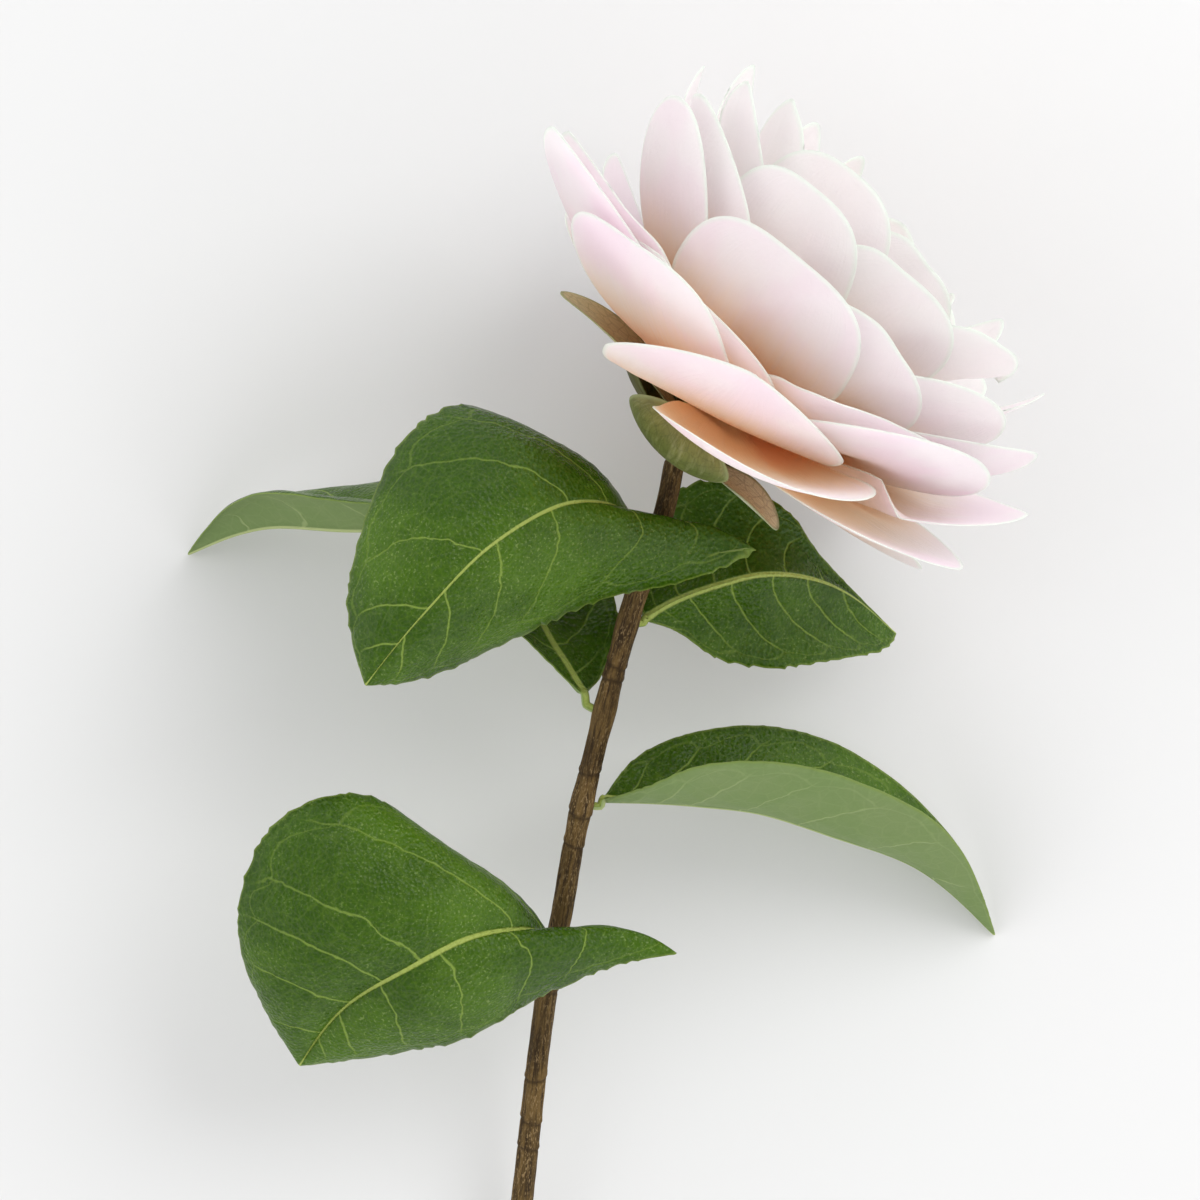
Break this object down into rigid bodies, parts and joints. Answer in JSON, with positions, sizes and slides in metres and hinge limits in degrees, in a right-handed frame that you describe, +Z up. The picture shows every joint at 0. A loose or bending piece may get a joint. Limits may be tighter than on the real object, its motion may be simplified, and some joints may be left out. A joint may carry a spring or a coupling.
{
  "type": "camellia flower",
  "caption": "Full double flower of thin overlapping petals on a cut woody stem with folded glossy leaves, lying on its side, for vases, bouquets, tables and gardens.",
  "frame": {"origin": "middle of the bounding box, on the surface that the flower lies on", "axes": "+Z up, away from that surface; +Y from the cut end of the stem toward the flower; +X completes the frame, to the right when +Y points away from the viewer"},
  "size_m": [0.1464, 0.2149, 0.0975],
  "materials": {
    "petal": "soft satin petal, pinkish white with peach to orange toward its foot and a pale mint rim",
    "leaf": "glossy dark green upper face with yellow-green veins, matte pale green lower face",
    "sepal": "satin olive green with fine dark veins and a thin pale rim",
    "bark": "matte brown bark with lengthwise streaks and dark ring scars",
    "receptacle": "matte green core that carries the sepals and petals"
  },
  "bodies": {
    "root": {"stem": "bark", "receptacle": "receptacle", "leaf_upper_left": "leaf", "leaf_lower_left": "leaf", "leaf_upper_right": "leaf", "leaf_lower_right": "leaf", "leaf_small": "leaf", "leaf_back_left": "leaf", "sepal_front": "sepal", "sepal_left": "sepal", "sepal_back": "sepal", "sepal_right": "sepal", "sepal_under_left": "sepal", "sepal_under_right": "sepal", "petal_01": "petal", "petal_02": "petal", "petal_03": "petal", "petal_04": "petal", "petal_05": "petal", "petal_06": "petal", "petal_07": "petal", "petal_08": "petal", "petal_09": "petal", "petal_10": "petal", "petal_11": "petal", "petal_12": "petal", "petal_13": "petal", "petal_14": "petal", "petal_15": "petal", "petal_16": "petal", "petal_17": "petal", "petal_18": "petal", "petal_19": "petal", "petal_20": "petal", "petal_21": "petal", "petal_22": "petal", "petal_23": "petal", "petal_24": "petal", "petal_25": "petal", "petal_26": "petal", "petal_27": "petal", "petal_28": "petal", "petal_29": "petal", "petal_30": "petal", "petal_31": "petal", "petal_32": "petal", "petal_33": "petal", "petal_34": "petal", "petal_35": "petal", "petal_36": "petal", "petal_37": "petal", "petal_38": "petal", "petal_39": "petal", "petal_40": "petal", "petal_41": "petal", "petal_42": "petal", "petal_43": "petal", "petal_44": "petal", "petal_45": "petal", "petal_46": "petal"}
  },
  "joints": []
}
